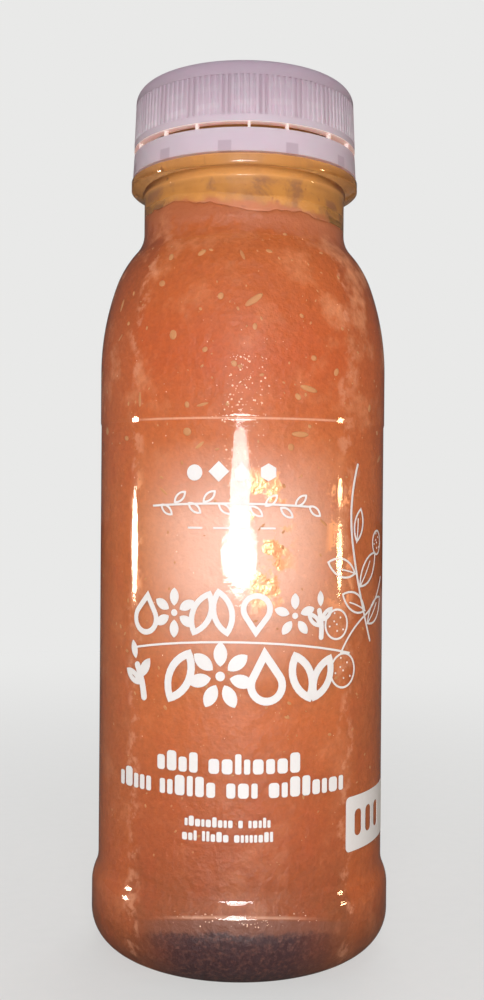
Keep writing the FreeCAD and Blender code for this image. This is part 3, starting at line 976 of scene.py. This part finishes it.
# pale specks that stand for glints: painted highlight
paintedGlintGroups = {
    "sparkles": (230, 0, 10, 84, 106, 0.12, 0.4, 0.8),
    "scattered": (90, 0, 60, 40, 120, 0.1, 0.26, 0.8),
    "heel": (90, 0, 34, 9.5, 13, 0.1, 0.3, 0.8),
}

scrapSizes = {
    "thickness": 0.07,
    "uneven": (0.8, 1.2),  # spread of the widths
    "lean": (0.6, 1.6),    # turn of a piece that stands alone
    "seed": 5,
}


def scatter(juice, groups, name, material):  # flat scraps that lie on the juice, just under the wall
    draw = random.Random(scrapSizes["seed"])
    ground = BVHTree.FromObject(juice, bpy.context.evaluated_depsgraph_get())
    bm = bmesh.new()
    for count, middle, spread, foot, top, least, most, share in groups.values():
        for _ in range(count):
            angle = math.radians(middle + draw.triangular(-spread, spread))
            height = draw.uniform(foot, top)
            way = Vector((math.sin(angle), -math.cos(angle), 0))
            spot, normal, _, _ = ground.ray_cast(Vector((0, 0, height * mm)), way)
            length = least + (most - least) * draw.random() ** 2
            width = length * share * draw.uniform(*scrapSizes["uneven"])
            turn = draw.uniform(*(scrapSizes["lean"] if count == 1 else (0, math.tau)))
            basis = normal.to_track_quat("Z", "Y").to_matrix().to_4x4() @ Matrix.Rotation(turn, 4, "Z")
            shape = Matrix.Diagonal((length / 2 * mm, width / 2 * mm, scrapSizes["thickness"] * mm, 1))
            bmesh.ops.create_icosphere(bm, subdivisions=2, radius=1,
                                       matrix=Matrix.Translation(spot) @ basis @ shape)
    return finishMesh(bm, name, material)


def paintedGlintMaterial():
    # tiny air bubble specks caught behind the wall, glossy, painted nearly white as glints
    made, add = newMaterial("airBubbleSpecksPaintedAsGlints")
    place = add("TexCoord").outputs["Object"]
    tone = add("TexNoise", None, (place, perMetre(1.5), 2.0))
    base = add("Mix", rgba, (tone, *juiceColours["paintedBubbleGlints"]))
    skin = add("BsdfPrincipled", None, {"Base Color": base, "Roughness": 0.25})
    add("OutputMaterial", None, (skin,))
    return made


stageLook = {
    "wall": "#e9e9e8",
    "board": ("#dddcda", "#e6e5e3"),
    "returned": "#5c5652",  # the board as the bottle sees it, so that it sends back little light
    "fade": (0.04, 0.4),    # metres from the bottle between which the board fades into the wall
    "fadeLeast": 0.6,
    "air": "#f2f4f7",
    "airStrength": 0.25,
    "airMirrored": 0.07,
}


def plainlySeen(add, path):  # by the camera, straight or through the bottle
    return add("Math", {"operation": "MAXIMUM"}, (
        path.outputs["Is Camera Ray"], path.outputs["Is Transmission Ray"]))


def buildStage():
    # painted board: matt and pale, fading into the wall behind it
    made, add = newMaterial("palePaintedBoard")
    place = add("TexCoord").outputs["Object"]
    grain = add("TexNoise", None, (place, perMetre(3), 4.0))
    tone = add("Mix", rgba, (grain, *stageLook["board"]))
    path = add("LightPath")
    seen = plainlySeen(add, path)
    bounced = add("Mix", rgba, (seen, stageLook["returned"], tone))
    paint = add("BsdfPrincipled", None, {"Base Color": bounced, "Roughness": 0.8})
    far = add("VectorMath", {"operation": "LENGTH"}, (place,))
    away = add("MapRange", smooth, (far, *stageLook["fade"], stageLook["fadeLeast"]))
    shown = add("Math", times, (seen, away))
    glow = add("Emission", None, (stageLook["wall"], 1.0))
    mix = add("MixShader", None, (shown, paint, glow))
    add("OutputMaterial", None, (mix,))
    bm = bmesh.new()
    bmesh.ops.create_grid(bm, x_segments=1, y_segments=1, size=3.0)
    finishMesh(bm, "floor", made)

    world = bpy.data.worlds.new("studio")
    bpy.context.scene.world = world
    world.use_nodes = True
    world.node_tree.nodes.clear()
    add = partial(addNode, world.node_tree)
    path = add("LightPath")
    seen = plainlySeen(add, path)
    mirrored = add("MapRange", None, (
        path.outputs["Is Glossy Ray"], 0.0, 1.0, stageLook["airStrength"], stageLook["airMirrored"]))
    soft = add("Background", None, (stageLook["air"], mirrored))
    wall = add("Background", None, (stageLook["wall"], 1.0))
    mix = add("MixShader", None, (seen, soft, wall))
    add("OutputWorld", None, (mix,))


lampSizes = {  # place, aim height, shape, width, height, power, colour
    "frontStrip": ((-0.012, -0.42, 0.0765), 0.074, "ELLIPSE", 0.11, 0.085, 0.28, "#ffffff"),
    "frontFoot": ((-0.012, -0.43, 0.051), 0.046, "ELLIPSE", 0.21, 0.035, 0.26, "#ffffff"),
    "leftStrip": ((-0.55, 0.017, 0.052), 0.045, "ELLIPSE", 0.06, 0.064, 0.36, "#fff3dc"),
    "rightStrip": ((0.544, -0.079, 0.044), 0.044, "ELLIPSE", 0.055, 0.04, 0.18, "#ffe2b0"),
    "rightSparkStrip": ((0.544, -0.079, 0.086), 0.086, "ELLIPSE", 0.05, 0.016, 0.06, "#ffe2b0"),
    "backFill": ((0.15, 0.75, 0.32), 0.08, "RECTANGLE", 0.5, 0.5, 3.2, "#ffffff"),
    "topFill": ((0.05, 0.15, 0.9), 0.15, "RECTANGLE", 0.5, 0.5, 1.2, "#ffffff"),
    "softBox": ((0.008, -0.6, 0.26), 0.085, "RECTANGLE", 0.35, 0.3, 2.2, "#ffffff"),
}


def buildLamps():
    for name, (place, aim, shape, width, height, power, colour) in lampSizes.items():
        lamp = bpy.data.lights.new(name, "AREA")
        lamp.shape = shape
        lamp.size = width
        lamp.size_y = height
        lamp.energy = power
        lamp.color = hexColour(colour)[:3]
        holder = bpy.data.objects.new(name, lamp)
        holder.location = place
        beam = Vector((0, 0, aim)) - Vector(place)
        holder.rotation_euler = beam.to_track_quat("-Z", "Y").to_euler()
        holder.visible_camera = False
        holder.visible_glossy = name.endswith("Strip") or name == "frontFoot"  # the others only fill
        holder.visible_transmission = name not in ("backFill", "topFill")
        bpy.context.scene.collection.objects.link(holder)


cameraSizes = {
    "lens": 41.8,
    "sensor": 36,
    "place": (0, -0.2185, 0.0823),
    "down": 0.185,  # degrees
    "roll": -0.43,
}


def buildCamera():
    lens = bpy.data.cameras.new("camera")
    lens.lens = cameraSizes["lens"]
    lens.sensor_width = cameraSizes["sensor"]
    holder = bpy.data.objects.new("camera", lens)
    holder.location = cameraSizes["place"]
    tilt = 90 - cameraSizes["down"]
    holder.rotation_euler = (math.radians(tilt), math.radians(cameraSizes["roll"]), 0)
    bpy.context.scene.collection.objects.link(holder)
    bpy.context.scene.camera = holder


buildCamera()
buildStage()
buildLamps()
print("stage, lamps and camera are up")

bottleWall = buildBottle(clearPet())
juiceBody = buildJuice(juiceMaterial())
frothLayer = buildFroth(frothMaterial())
print("bottle and contents are built")

pulpBits = scatter(juiceBody, pulpGroups, "pulpBits", pulpMaterial())
paintedGlintSpecks = scatter(juiceBody, paintedGlintGroups, "paintedGlintSpecks", paintedGlintMaterial())
print("pulp and air are scattered")

ink = inkMaterial()
prints = [buildPrint(ink), buildSprig(ink), buildLabel(ink)]
print("print is laid on the panel")

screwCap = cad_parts["screw_cap"]
screwCap.data.materials.clear()
screwCap.data.materials.append(capMaterial())

dressed = (  # piece, material slot and the nodes that it replaces
    (bottleWall, "clear_pet", ("bottle",)),
    (juiceBody, "fruit_juice", ("juice",)),
    (frothLayer, "juice_froth", ("froth",)),
    (pulpBits, "fruit_juice", ()),
    (paintedGlintSpecks, "fruit_juice", ()),
    *((flat, "white_print", ()) for flat in prints),
)
for piece, slot, nodes in dressed:
    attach(piece, "root")
    if nodes:
        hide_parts(*nodes)
bpy.context.scene.view_settings.view_transform = "Standard"
print("pieces ride on the bottle")
